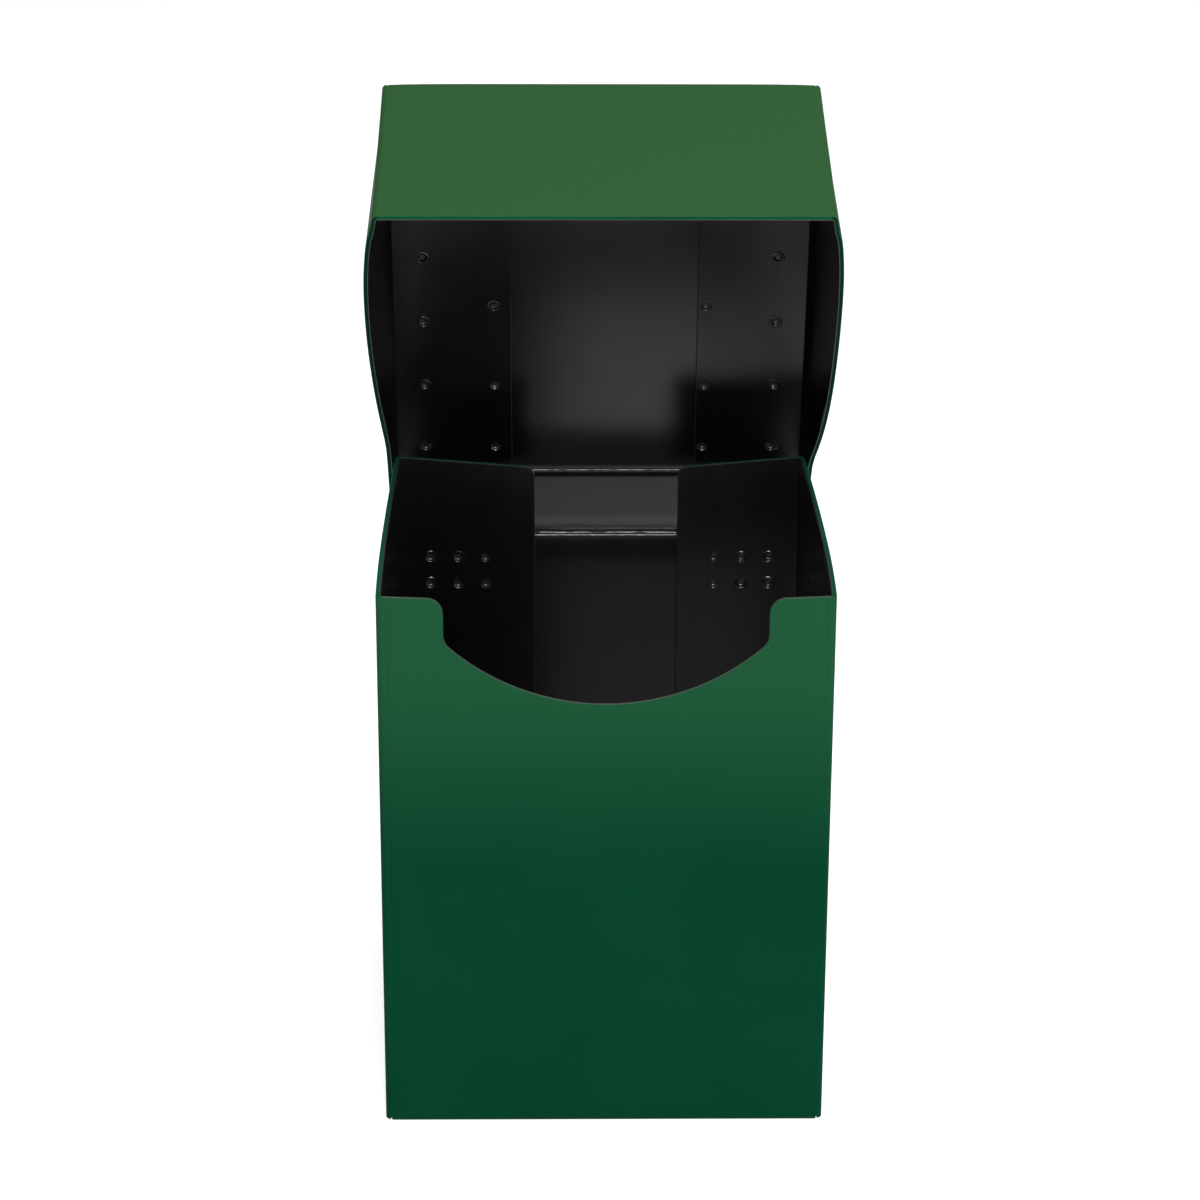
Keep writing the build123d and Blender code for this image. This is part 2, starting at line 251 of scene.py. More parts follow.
def sheet_mesh(name, outline, holes, u_lines, v_lines, surface, seam=no_seam):
    """A closed sheet: surface(u, v, depth) gives a point, with depth 0 on the outside face. A seam is an edge
    where the next piece of sheet goes on, so that it is left without a bevel."""
    loops = [divided(outline, u_lines, v_lines)] + [list(hole) for hole in holes]
    insets = [inset(loop, seam, EDGE_BEVEL) for loop in loops]
    flat, constraints = [], []
    for loop in insets:
        first = len(flat)
        flat += loop
        constraints += [(first + k, first + (k + 1) % len(loop)) for k in range(len(loop))]
    for u in u_lines:
        for v in v_lines:
            point = (u, v)
            if not inside(point, insets[0]) or any(inside(point, hole[::-1]) for hole in insets[1:]):
                continue
            if all(clear_of(point, loop, 0.3) for loop in insets):
                flat.append(point)
    verts, _, faces, _, _, _ = delaunay_2d_cdt([Vector(p) for p in flat], constraints, [], 0, 1e-5)
    kept = []
    for face in faces:
        middle = sum((verts[k] for k in face), Vector((0, 0))) / len(face)
        if inside(middle, insets[0]) and not any(inside(middle, hole) for hole in insets[1:]):
            kept.append(face)
    if len(verts) != len(flat):
        raise ValueError(name + ": the outline's points run together")

    mesh = bmesh.new()
    outer = [mesh.verts.new(surface(v.x, v.y, 0.0)) for v in verts]
    inner = [mesh.verts.new(surface(v.x, v.y, SHEET)) for v in verts]
    for face in kept:
        mesh.faces.new([outer[k] for k in face]).material_index = OUTSIDE
        mesh.faces.new([inner[k] for k in reversed(face)]).material_index = INSIDE
    first = 0
    for loop in loops:
        count = len(loop)
        rings = [outer[first:first + count]]
        for depth in (EDGE_BEVEL, SHEET - EDGE_BEVEL - LINING, SHEET - EDGE_BEVEL):
            rings.append([mesh.verts.new(surface(u, v, depth)) for u, v in loop])
        rings.append(inner[first:first + count])
        first += count
        for ring, slot in enumerate((OUTSIDE, CUT_EDGE, LINING_EDGE, LINING_EDGE)):
            for k in range(count):
                after = (k + 1) % count
                quad = (rings[ring][k], rings[ring][after], rings[ring + 1][after], rings[ring + 1][k])
                mesh.faces.new(quad).material_index = slot
    return finished(name, mesh)


def finished(name, mesh, steep=38):
    """A Blender object from a bmesh in millimetres, smooth but for its sharp edges."""
    bmesh.ops.recalc_face_normals(mesh, faces=mesh.faces)
    bmesh.ops.transform(mesh, matrix=Matrix.Scale(MM, 4), verts=mesh.verts)
    data = bpy.data.meshes.new(name)
    mesh.to_mesh(data)
    mesh.free()
    data.shade_smooth()
    data.set_sharp_from_angle(angle=math.radians(steep))
    piece = bpy.data.objects.new(name, data)
    bpy.context.scene.collection.objects.link(piece)
    return piece


def dress(piece, materials, body, nodes):
    """Gives a piece its materials, its body and the CAD nodes it stands for."""
    for material in materials:
        piece.data.materials.append(material)
    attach(piece, body)
    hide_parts(*nodes)
    return piece


# ---------------------------------------------------------------- materials

def node_set(material):
    material.use_nodes = True
    tree = material.node_tree
    tree.nodes.clear()
    output = tree.nodes.new("ShaderNodeOutputMaterial")
    shader = tree.nodes.new("ShaderNodeBsdfPrincipled")
    tree.links.new(shader.outputs["BSDF"], output.inputs["Surface"])
    return tree, shader


def noise(tree, vector, scale, detail=2.0, roughness=0.5):
    node = tree.nodes.new("ShaderNodeTexNoise")
    node.inputs["Scale"].default_value = scale
    node.inputs["Detail"].default_value = detail
    node.inputs["Roughness"].default_value = roughness
    tree.links.new(vector, node.inputs["Vector"])
    return node.outputs["Fac"]


def spread(tree, value, low, high):
    """Maps a value from 0..1 to low..high."""
    node = tree.nodes.new("ShaderNodeMapRange")
    node.inputs["To Min"].default_value = low
    node.inputs["To Max"].default_value = high
    tree.links.new(value, node.inputs["Value"])
    return node.outputs["Result"]


def bump(tree, height, distance, strength, below=None):
    node = tree.nodes.new("ShaderNodeBump")
    node.inputs["Distance"].default_value = distance
    node.inputs["Strength"].default_value = strength
    tree.links.new(height, node.inputs["Height"])
    if below is not None:
        tree.links.new(below, node.inputs["Normal"])
    return node.outputs["Normal"]


def mixed(tree, value, low, high, colour_low, colour_high):
    """Blends two colours, each a socket or a plain colour, smoothly as a value goes from low to high."""
    share = tree.nodes.new("ShaderNodeMapRange")
    share.interpolation_type = "SMOOTHSTEP"
    share.inputs["From Min"].default_value = low
    share.inputs["From Max"].default_value = high
    tree.links.new(value, share.inputs["Value"])
    mix = tree.nodes.new("ShaderNodeMix")
    mix.data_type = "RGBA"
    tree.links.new(share.outputs["Result"], mix.inputs["Factor"])
    for socket, colour in ((mix.inputs[6], colour_low), (mix.inputs[7], colour_high)):
        if isinstance(colour, tuple):
            socket.default_value = (*colour, 1)
        else:
            tree.links.new(colour, socket)
    return mix.outputs[2]


def plastic(name, colours, roughness, specular, grain=(), tint=(1, 1, 1), painted_light_rising=()):
    """Satin polypropylene. colours are the two ends of its slight variation, grain is a list of (scale,
    distance, strength) for its texture, and painted_light_rising a list of (low z, high z, colour), in
    millimetres, that it changes to up the object, as painted light: lighter where more light falls."""
    material = bpy.data.materials.new(name)
    tree, shader = node_set(material)
    place = tree.nodes.new("ShaderNodeTexCoord").outputs["Object"]
    parts = tree.nodes.new("ShaderNodeSeparateXYZ")
    tree.links.new(place, parts.inputs["Vector"])
    colour = mixed(tree, noise(tree, place, 40, 3, 0.55), 0.35, 0.65, *colours)
    # Painted light: the colour turns to each listed colour up the object's height.
    for low, high, above in painted_light_rising:
        colour = mixed(tree, parts.outputs["Z"], low * MM, high * MM, colour, above)
    tree.links.new(colour, shader.inputs["Base Color"])
    tree.links.new(spread(tree, noise(tree, place, 160, 4), *roughness), shader.inputs["Roughness"])
    shader.inputs["Specular IOR Level"].default_value = specular
    shader.inputs["Specular Tint"].default_value = (*tint, 1)
    normal = None
    for scale, distance, strength in grain:
        normal = bump(tree, noise(tree, place, scale, 3, 0.6), distance, strength, normal)
    if normal is not None:
        tree.links.new(normal, shader.inputs["Normal"])
    return material


def greys(low, high):
    """The two ends of a nearly black colour's variation."""
    return (low, low, low), (high, high, high)


FINE_GRAIN = ((2600, 0.00003, 0.35), (420, 0.00008, 0.15))
PEBBLE_GRAIN = ((4200, 0.00002, 0.4), (1500, 0.00003, 0.15))
SHEARED_GRAIN = ((3500, 0.00004, 0.5),)
COINED_GRAIN = ((1400, 0.00005, 0.5),)
GREEN_LOW = (0.0007, 0.0290, 0.0132)
GREEN_HIGH = (0.0010, 0.0320, 0.0144)
# Painted light: the green turns lighter up the front panel's upper part, and lighter and yellower on the
# lid's flap, where more light falls; it is baked into the colour, so it stays when the lid is closed.
PAINTED_LIGHT_BODY_TOP = (0.0078, 0.0530, 0.0222)
PAINTED_LIGHT_LID_FLAP = (0.0174, 0.0600, 0.0207)
PAINTED_LIGHT_RISING = ((42, 84, PAINTED_LIGHT_BODY_TOP), (105, 135, PAINTED_LIGHT_LID_FLAP))
outside_green = plastic("outside_green", (GREEN_LOW, GREEN_HIGH), (0.40, 0.48), 0.012, FINE_GRAIN,
                        (1.0, 0.95, 0.4), PAINTED_LIGHT_RISING)
# The sheet's core, where the die has sheared it: painted shade makes it darker on the lid's sides, and a
# painted highlight makes it pale on the front panel.
cut_green = plastic("cut_green", ((0.0010, 0.040, 0.019), (0.0016, 0.052, 0.024)), (0.45, 0.55), 0.02,
                    SHEARED_GRAIN)
painted_shade_cut = plastic("painted_shade_cut", ((0.0004, 0.016, 0.008), (0.0008, 0.022, 0.010)), (0.45, 0.55), 0.01,
                   SHEARED_GRAIN)
painted_highlight_cut = plastic("painted_highlight_cut", ((0.036, 0.058, 0.044), (0.056, 0.078, 0.056)), (0.35, 0.45), 0.25,
                   SHEARED_GRAIN)
# The black lining: its face, its glossy cut edge, painted lighter grey as a highlight, and where a crease or
# a weld has pressed it.
inside_black = plastic("inside_black", greys(0.0010, 0.0014), (0.22, 0.28), 0.5, PEBBLE_GRAIN)
painted_highlight_lining_edge = plastic("painted_highlight_lining_edge", ((0.010, 0.011, 0.010), (0.016, 0.017, 0.015)), (0.3, 0.4), 0.5)
crease_black = plastic("crease_black", greys(0.001, 0.002), (0.45, 0.55), 0.2)
coined_black = plastic("coined_black", greys(0.004, 0.006), (0.16, 0.22), 0.8, COINED_GRAIN)
weld_black = plastic("weld_black", greys(0.006, 0.010), (0.22, 0.34), 0.55)

# In the order of a sheet's slots.
SHEET_SET = (outside_green, cut_green, inside_black, painted_highlight_lining_edge)


# ---------------------------------------------------------------- the box

# How far the empty box's panels bow outwards at the rim, and its front corners spread.
FRONT_BOW = 0.22
LEFT_SIDE_BOW, RIGHT_SIDE_BOW = 0.40, 0.58
BODY_FLARE = 0.22
# The scored line left beside each front corner fold: its depth, its distance from the fold and its width.
GROOVE, GROOVE_PLACE, GROOVE_WIDTH = 0.12, 0.5, 0.2


def flare(z):
    """How far the side corners have spread at this height."""
    return BODY_FLARE * max(z, 0) / RIM


def front_bow(x, z):
    """How far the front panel stands forward of flat."""
    return FRONT_BOW * (1 - (x / HALF_FLAT) ** 2) * (z / RIM) ** 0.7


def notch_outline():
    """The thumb notch, from its right shoulder to its left."""
    half, depth, wall, mouth, bend, drop = 25.5, 18.0, 7.7, 2.6, 3.0, 0.3
    floor, corner = RIM - depth, RIM - wall
    radius = (half ** 2 + (corner - floor) ** 2) / (2 * (corner - floor))
    bowl = floor + radius
    slope = drop / (HALF_FLAT - half)
    mouth_centre = (half + mouth, RIM - drop + slope * mouth - mouth * math.hypot(1, slope))
    shoulder_angle = 90 + math.degrees(math.atan(slope))
    points = corner_arc(mouth_centre, mouth, shoulder_angle, 180, 8)
    bend_x = half - bend
    bend_z = bowl - math.sqrt((radius - bend) ** 2 - bend_x ** 2)
    bend_angle = math.degrees(math.atan2(bend_z - bowl, bend_x))
    points += corner_arc((bend_x, bend_z), bend, 0, bend_angle, 7)
    points += corner_arc((0, bowl), radius, bend_angle, -90, 18)[1:]
    return points + [(-x, z) for x, z in reversed(points[:-1])]


def build_front_panel():
    """The front wall, with the notch cut from its rim."""
    outline = [(-HALF_FLAT, BASE_FOLD), (HALF_FLAT, BASE_FOLD), (HALF_FLAT, RIM)]
    outline += notch_outline() + [(-HALF_FLAT, RIM)]

    def surface(x, z, depth):
        wide = x * (1 + flare(z) / HALF_FLAT)
        off_line = (HALF_FLAT - GROOVE_PLACE - abs(x)) / GROOVE_WIDTH
        groove = GROOVE * math.exp(-off_line ** 2) * (1 - depth / SHEET)
        return (wide, -HALF_DEPTH - front_bow(x, z) + depth + groove, z)

    def seam(x, z):
        return abs(x) > HALF_FLAT - 0.01 or z < BASE_FOLD + 0.01

    scored = [side * (HALF_FLAT - back) for side in (-1, 1) for back in (0.25, 0.5, 0.75, 1.1)]
    lines_x, lines_z = spaced(-HALF_FLAT, HALF_FLAT, 3) + scored, spaced(BASE_FOLD, RIM, 4)
    piece = sheet_mesh("front_panel_sheet", outline, [], lines_x, lines_z, surface, seam)
    # Painted highlight: the cut edge of the rim and notch is painted pale.
    materials = (outside_green, painted_highlight_cut, inside_black, painted_highlight_lining_edge)
    return dress(piece, materials, "box", ["front_panel"])


def build_side_panel(side):
    name = "left_side_panel" if side < 0 else "right_side_panel"
    low, high = node_box(name)
    start = -HALF_DEPTH + FOLD_OUTER
    run = high.y - start

    def surface(u, z, depth):
        if u < 0:
            angle = math.radians(-90 * u / FOLD_ARC)
            radius = FOLD_OUTER - depth
            across = HALF_FLAT + flare(z) + radius * math.cos(angle)
            return (side * across, start - radius * math.sin(angle), z)
        most = LEFT_SIDE_BOW if side < 0 else RIGHT_SIDE_BOW
        share = u / run
        # A flat-topped arch along the wall, higher towards the front.
        arch = (1 - abs(2 * share - 1) ** 2.2) * (1.25 - 0.6 * share)
        bow = flare(z) * (1 - share) ** 2 + most * arch * (z / RIM) ** 0.8
        return (side * (HALF_WIDTH + bow - depth), start + u, z)

    def seam(u, z):
        return u < 0.01 - FOLD_ARC or u > run - 0.01 or abs(z - low.z) < 0.01

    # The corner fold stops short of the base's own fold.
    foot = 0.45
    outline = [
        (-FOLD_ARC, foot + 0.35), (0.35 - FOLD_ARC, foot), (0.2, foot), (0.55, low.z),
        (run, low.z), (run, RIM), (-FOLD_ARC, RIM),
    ]
    lines_u = fold_lines(spaced(0, run, 3))
    piece = sheet_mesh(name + "_sheet", outline, [], lines_u, spaced(low.z, RIM, 4.5), surface, seam)
    return dress(piece, SHEET_SET, "box", [name])


def weld_centres(node, axes, gap=1.6):
    """The centres of a node's spot welds, from its separate solids, as pairs along two axes."""
    centres = []
    for vertex in frame["nodes"][node].data.vertices:
        point = vertex.co / MM if axes != "lid" else LID.inverted() @ (vertex.co / MM)
        spot = (point.x, point.z) if axes == "rear" else (point.x, point.y)
        for group in centres:
            if abs(group[0][0] - spot[0]) < gap and abs(group[0][1] - spot[1]) < gap:
                group.append(spot)
                break
        else:
            centres.append([spot])
    result = []
    for group in centres:
        xs, ys = [spot[0] for spot in group], [spot[1] for spot in group]
        result.append(((min(xs) + max(xs)) / 2, (min(ys) + max(ys)) / 2))
    return sorted(result)


WELD_RADIUS = 0.78


def build_rear_flap(side):
    name = "left_rear_flap" if side < 0 else "right_rear_flap"
    low, high = node_box(name)
    fold_y = HALF_DEPTH - SHEET - FOLD_OUTER
    inner_edge = min(abs(low.x), abs(high.x))
    run = HALF_FLAT - inner_edge
    drop = 1.8

    def surface(u, z, depth):
        if u < 0:
            angle = math.radians(90 + 90 * u / FOLD_ARC)
            radius = FOLD_OUTER - depth
            across = HALF_FLAT + radius * math.cos(angle)
            return (side * across, fold_y + radius * math.sin(angle), z)
        lift = 0.3 * (u / run) ** 3
        return (side * (HALF_FLAT - u), fold_y + FOLD_OUTER - depth - lift, z)

    def seam(u, z):
        return u < 0.01 - FOLD_ARC

    outline = rounded(
        [(-FOLD_ARC, low.z), (run, low.z), (run, RIM - drop), (0, RIM), (-FOLD_ARC, RIM)],
        [0, 1.7, 1.7, 0, 0],
    )
    spots = weld_centres(name[:-4] + "welds", "rear")
    holes = [circle((HALF_FLAT - abs(x), z), WELD_RADIUS) for x, z in spots]
    lines_u, lines_z = fold_lines(spaced(0, run, 3)), spaced(low.z, RIM, 4)
    piece = sheet_mesh(name + "_sheet", outline, holes, lines_u, lines_z, surface, seam)
    return dress(piece, SHEET_SET, "box", [name])


def build_back_panel():
    low, high = node_box("back_panel")

    def surface(x, z, depth):
        thin = shoulder(high.z - z)
        return (x, HALF_DEPTH - depth * thin, z)

    def seam(x, z):
        return z < low.z + 0.01

    outline = rectangle(-HALF_FLAT, low.z, HALF_FLAT, high.z)
    spots = weld_centres("left_rear_welds", "rear") + weld_centres("right_rear_welds", "rear")
    holes = [circle(spot, WELD_RADIUS) for spot in spots]
    lines_x = spaced(-HALF_FLAT, HALF_FLAT, 3.5)
    lines_z = spaced(low.z, high.z - 1.2, 4) + shoulder_lines(high.z)
    piece = sheet_mesh("back_panel_sheet", outline, holes, lines_x, lines_z, surface, seam)
    coin(piece, lambda point: point.z > high.z - COIN_REACH and point.y < HALF_DEPTH - 0.05)
    return dress(piece, (*SHEET_SET, coined_black), "box", ["back_panel"])


# The crease is pressed thin: the sheet falls to its web over a short rounded shoulder.
WEB = 0.26
COIN_REACH = 0.4


def shoulder(distance):
    """The share of the sheet's thickness left this far from a crease's edge."""
    share = min(1.0, max(0.0, distance / COIN_REACH))
    return WEB / SHEET + (1 - WEB / SHEET) * math.sqrt(1 - (1 - share) ** 2)


def shoulder_lines(end):
    """Mesh lines across the shoulder that ends there."""
    return [end - COIN_REACH * step for step in (1.0, 0.7, 0.45, 0.25)]


def coin(piece, pressed):
    """Moves the lined faces of a pressed shoulder to the slot of their own finish."""
    for face in piece.data.polygons:
        if face.material_index in (INSIDE, LINING_EDGE) and pressed(face.center / MM):
            face.material_index = PRESSED


def build_bottom_panel():
    flat = 2 * (HALF_DEPTH - FOLD_OUTER)

    def surface(u, x, depth):
        radius = FOLD_OUTER - depth
        if u < 0:
            angle = math.radians(-90 * u / FOLD_ARC)
            return (x, -flat / 2 - radius * math.sin(angle), FOLD_OUTER - radius * math.cos(angle))
        if u > flat:
            angle = math.radians(90 * (u - flat) / FOLD_ARC)
            return (x, flat / 2 + radius * math.sin(angle), FOLD_OUTER - radius * math.cos(angle))
        return (x, u - flat / 2, depth)

    def seam(u, x):
        return u < 0.01 - FOLD_ARC or u > flat + FOLD_ARC - 0.01

    outline = rectangle(-FOLD_ARC, -HALF_FLAT, flat + FOLD_ARC, HALF_FLAT)
    far_fold = [flat + FOLD_ARC * k / FOLD_STEPS for k in range(1, FOLD_STEPS + 1)]
    lines_u, lines_x = fold_lines(spaced(0, flat, 5)) + far_fold, spaced(-HALF_FLAT, HALF_FLAT, 5)
    spots = weld_centres("left_bottom_welds", "base") + weld_centres("right_bottom_welds", "base")
    holes = [circle((y + flat / 2, x), WELD_RADIUS) for x, y in spots]
    piece = sheet_mesh("bottom_panel_sheet", outline, holes, lines_u, lines_x, surface, seam)
    return dress(piece, SHEET_SET, "box", ["bottom_panel"])


def build_bottom_flap(side):
    name = "left_bottom_flap" if side < 0 else "right_bottom_flap"
    low, high = node_box(name)
    fold_z = SHEET + FOLD_OUTER
    run = HALF_FLAT - min(abs(low.x), abs(high.x))
    cut = 4.0

    def surface(u, y, depth):
        if u < 0:
            angle = math.radians(90 + 90 * u / FOLD_ARC)
            radius = FOLD_OUTER - depth
            return (side * (HALF_FLAT + radius * math.cos(angle)), y, fold_z - radius * math.sin(angle))
        return (side * (HALF_FLAT - u), y, SHEET + depth + 0.4 * (u / run) ** 3)

    def seam(u, y):
        return u < 0.01 - FOLD_ARC

    outline = [
        (-FOLD_ARC, low.y), (run - cut, low.y), (run, low.y + cut),
        (run, high.y - cut), (run - cut, high.y), (-FOLD_ARC, high.y),
    ]
    spots = weld_centres(name[:-4] + "welds", "base")
    holes = [circle((HALF_FLAT - abs(x), y), WELD_RADIUS) for x, y in spots]
    lines_u, lines_y = fold_lines(spaced(0, run, 4)), spaced(low.y, high.y, 5)
    piece = sheet_mesh(name + "_sheet", outline, holes, lines_u, lines_y, surface, seam)
    return dress(piece, SHEET_SET, "box", [name])


# ---------------------------------------------------------------- spot welds

def build_welds(node, spots, place, through, body, seed):
    """Fused nuggets: flush and green on the outside, and on the inside a small pit with a raised rim where
    the horn pressed. place(x, y, depth) gives a point, with depth measured inwards from the outer face."""
    dice = random.Random(seed)
    mesh = bmesh.new()
    steps = 20
    for x, y in spots:
        lean = dice.uniform(0, math.tau)
        size = dice.uniform(0.92, 1.06)
        deep = dice.uniform(0.40, 0.55)
        rim = dice.uniform(0.05, 0.10)
        # Radius and depth: the outside face, the wall of the hole, the raised rim and the pit.
        profile = [
            (0.0, 0.03), (0.45, 0.03), (0.70, 0.01), (WELD_RADIUS, 0.04),
            (WELD_RADIUS, 0.35), (WELD_RADIUS, through + 0.01), (1.22 * size, through - 0.03),
            (1.08 * size, through + rim * 0.7), (0.92 * size, through + rim),
            (0.76 * size, through + rim * 0.2), (0.66 * size, through - deep * 0.55),
            (0.50 * size, through - deep), (0.24 * size, through - deep * 0.92),
            (0.0, through - deep * 0.85),
        ]
        rings = []
        for place_index, (radius, depth) in enumerate(profile):
            if radius == 0:
                rings.append([mesh.verts.new(place(x, y, depth))])
                continue
            ring = []
            for k in range(steps):
                angle = math.tau * k / steps
                uneven = 0.45 * rim * math.cos(angle - lean) if place_index in (7, 8) else 0
                wobble = 1 + 0.04 * math.sin(3 * angle + lean) if place_index > 6 else 1
                spot = (x + radius * wobble * math.cos(angle), y + radius * wobble * math.sin(angle))
                ring.append(mesh.verts.new(place(*spot, depth + uneven)))
            rings.append(ring)
        for index, (first, second) in enumerate(zip(rings, rings[1:])):
            for k in range(steps):
                after = (k + 1) % steps
                if len(first) == 1:
                    face = mesh.faces.new((first[0], second[k], second[after]))
                elif len(second) == 1:
                    face = mesh.faces.new((first[k], first[after], second[0]))
                else:
                    face = mesh.faces.new((first[k], first[after], second[after], second[k]))
                face.material_index = 0 if index < 4 else 2 if index < 9 else 1
    piece = finished(node + "_nuggets", mesh, 70)
    return dress(piece, (outside_green, weld_black, inside_black), body, [node])


# Places on the outer sheet of each welded pair, at a depth inwards from its face.
def on_back(x, z, depth):
    return (x, HALF_DEPTH - depth, z)


def on_base(x, y, depth):
    return (x, y, depth)


def on_lid(x, y, depth):
    return LID @ Vector((x, y, SHEET - depth))


def build_all_welds():
    """Each group's name, the axes its centres are read on, its surface, its body and its first seed."""
    groups = (
        ("%s_rear_welds", "rear", on_back, "box", 11),
        ("%s_bottom_welds", "base", on_base, "box", 21),
        ("lid_%s_welds", "lid", on_lid, "lid", 31),
    )
    for number, side in enumerate(("left", "right")):
        for pattern, axes, place, body, seed in groups:
            node = pattern % side
            spots = weld_centres(node, axes)
            build_welds(node, spots, place, 2 * SHEET, body, seed + number)


# ---------------------------------------------------------------- the strip and its two creases

def build_strip():
    low, high = CREASE_GAP, STRIP_LENGTH - CREASE_GAP

    def surface(x, along, depth):
        # Thinned from the inside at the lower crease, and from the outside at the upper one.
        thin_low, thin_high = shoulder(along - low), shoulder(high - along)
        level = depth * thin_low
        level = SHEET - (SHEET - level) * thin_high if thin_high < 1 else level
        return STRIP @ Vector((x, along, level))

    outline = rectangle(-HALF_FLAT, low, HALF_FLAT, high)
    lines_v = [low + high - line for line in shoulder_lines(high)]
    lines_v += spaced(low + 1.5, high - 1.5, 2.5) + shoulder_lines(high)
    lines_x = spaced(-HALF_FLAT, HALF_FLAT, 3.5)
    piece = sheet_mesh("lid_back_panel_sheet", outline, [], lines_x, lines_v, surface)
    inverse = STRIP.inverted()
    coin(piece, lambda point: (inverse @ point).y < low + COIN_REACH)
    return dress(piece, (*SHEET_SET, coined_black), "lid_strip", ["lid_back_panel"])


def build_lower_web():
    """The thinned web of the lower crease, which bends between the box and the strip."""
    mesh = bmesh.new()
    half, steps = HALF_FLAT - 0.05, 10
    columns = spaced(-half, half, 0.45)
    dice = random.Random(5)
    start = Vector((0, HALF_DEPTH, CREASE_END - 0.05))
    end = STRIP @ Vector((0, CREASE_GAP + 0.05, 0))
    middle = LOWER_CREASE + Vector((0, 0.02, 0.0))
    rows = []
    for k in range(steps + 1):
        share = k / steps
        point = (1 - share) ** 2 * start + 2 * share * (1 - share) * middle + share ** 2 * end
        tangent = 2 * (1 - share) * (middle - start) + 2 * share * (end - middle)
        normal = Vector((0, -tangent.z, tangent.y)).normalized()
        bead = 0.12 * math.exp(-((share - 0.4) / 0.18) ** 2)
        rows.append((point, normal, WEB * 0.9 + bead, bead))
    outer, inner = [], []
    for point, normal, thick, bead in rows:
        outer.append([mesh.verts.new(point + Vector((x, 0, 0))) for x in columns])
        inner.append([
            mesh.verts.new(point + Vector((x, 0, 0)) + normal * (thick + bead * dice.uniform(-0.5, 0.5)))
            for x in columns
        ])
    count = len(columns)
    for k in range(steps):
        for c in range(count - 1):
            mesh.faces.new((outer[k][c], outer[k][c + 1], outer[k + 1][c + 1], outer[k + 1][c]))
            face = mesh.faces.new((inner[k][c], inner[k + 1][c], inner[k + 1][c + 1], inner[k][c + 1]))
            face.material_index = 1
        for c in (0, count - 1):
            mesh.faces.new((outer[k][c], outer[k + 1][c], inner[k + 1][c], inner[k][c]))
    for k in (0, steps):
        for c in range(count - 1):
            mesh.faces.new((outer[k][c], outer[k][c + 1], inner[k][c + 1], inner[k][c]))
    piece = finished("lower_living_hinge_web", mesh, 60)
    for material in (outside_green, coined_black):
        piece.data.materials.append(material)
    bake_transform(piece)
    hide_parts("lower_living_hinge")


def build_upper_bead():
    """The pressed line of the upper crease, a low uneven bead in the corner between strip and top."""
    mesh = bmesh.new()
    half, steps, radius = HALF_FLAT - 0.05, 12, 0.30
    columns = spaced(-half, half, 0.8)
    dice = random.Random(9)
    rings = []
    for x in columns:
        size = radius + dice.uniform(-0.02, 0.02)
        ring = []
        for k in range(steps):
            angle = math.tau * k / steps
            spot = Vector((x, size * math.cos(angle), size * math.sin(angle)))
            ring.append(mesh.verts.new(UPPER_CREASE + spot))
        rings.append(ring)
    for first, second in zip(rings, rings[1:]):
        for k in range(steps):
            after = (k + 1) % steps
            mesh.faces.new((first[k], first[after], second[after], second[k]))
    mesh.faces.new(rings[0])
    mesh.faces.new(rings[-1])
    piece = finished("upper_living_hinge_bead", mesh, 60)
    dress(piece, (crease_black,), "lid_strip", ["upper_living_hinge"])


# ---------------------------------------------------------------- the lid

TOP_CROWN = 0.40
FLAP_SPLAY = 0.28
# Each lid side springs outwards along its free edge: how far, how soon behind the front fold, where it comes
# back in, as shares of the lid's length, and how late it does so.
LEFT_BOW = (2.54, 0.13, 0.75, 2.9)
RIGHT_BOW = (2.46, 0.12, 0.81, 6.0)
# How quickly it springs on the way from the top down to the free edge; below one, it is quick near the top.
LEFT_SPRING, RIGHT_SPRING = 0.5, 0.35


def crown(x, y):
    """How far the lid's top domes outwards, most at the middle of its front fold."""
    across = max(0.0, 1 - abs(x / LID_HALF_FLAT) ** 9)
    return TOP_CROWN * across * (min(1.0, -y / LID_FOLD)) ** 1.3


def flap_splay(z):
    """The front flap and its corners widen a little towards the free edge."""
    return FLAP_SPLAY * min(1.0, max(0.0, (LID_SIDE_TOP - z) / FLAP_HEIGHT)) ** 1.5


def lid_side_bow(side, share):
    """How far a lid side stands out along its free edge, this share of the way back from its front fold."""
    most, rise, end, late = LEFT_BOW if side < 0 else RIGHT_BOW
    bow = most * (1 - math.exp(-share / rise)) * (1 - (share / end) ** late)
    # Held above zero by a soft corner, and started from the fold itself.
    return (bow + math.hypot(bow, 0.3)) / 2 * min(1.0, share * 20)


def build_lid_top():
    low, high = lid_box("lid_top_panel")

    def surface(x, y, depth):
        thin = shoulder(high.y - y)
        return LID @ Vector((x, y, (SHEET - depth) * thin + crown(x, y)))

    def seam(x, y):
        return y < low.y + 0.01 and abs(x) < LID_HALF_FLAT

    outline = rounded(rectangle(low.x, low.y, high.x, high.y), [0.6, 0.6, 0.5, 0.5])
    spots = weld_centres("lid_left_welds", "lid") + weld_centres("lid_right_welds", "lid")
    holes = [circle(spot, WELD_RADIUS) for spot in spots]
    lines_x = spaced(low.x, high.x, 3.5)
    lines_y = spaced(low.y, high.y - 1.2, 3.5) + shoulder_lines(high.y)
    piece = sheet_mesh("lid_top_panel_sheet", outline, holes, lines_x, lines_y, surface, seam)
    # Matt at the crease's edge, so that no bright line stands beside the bead.
    inverse = LID.inverted()
    coin(piece, lambda point: (inverse @ point).y > high.y - 0.5 * COIN_REACH)
    return dress(piece, (*SHEET_SET, crease_black), "lid", ["lid_top_panel"])


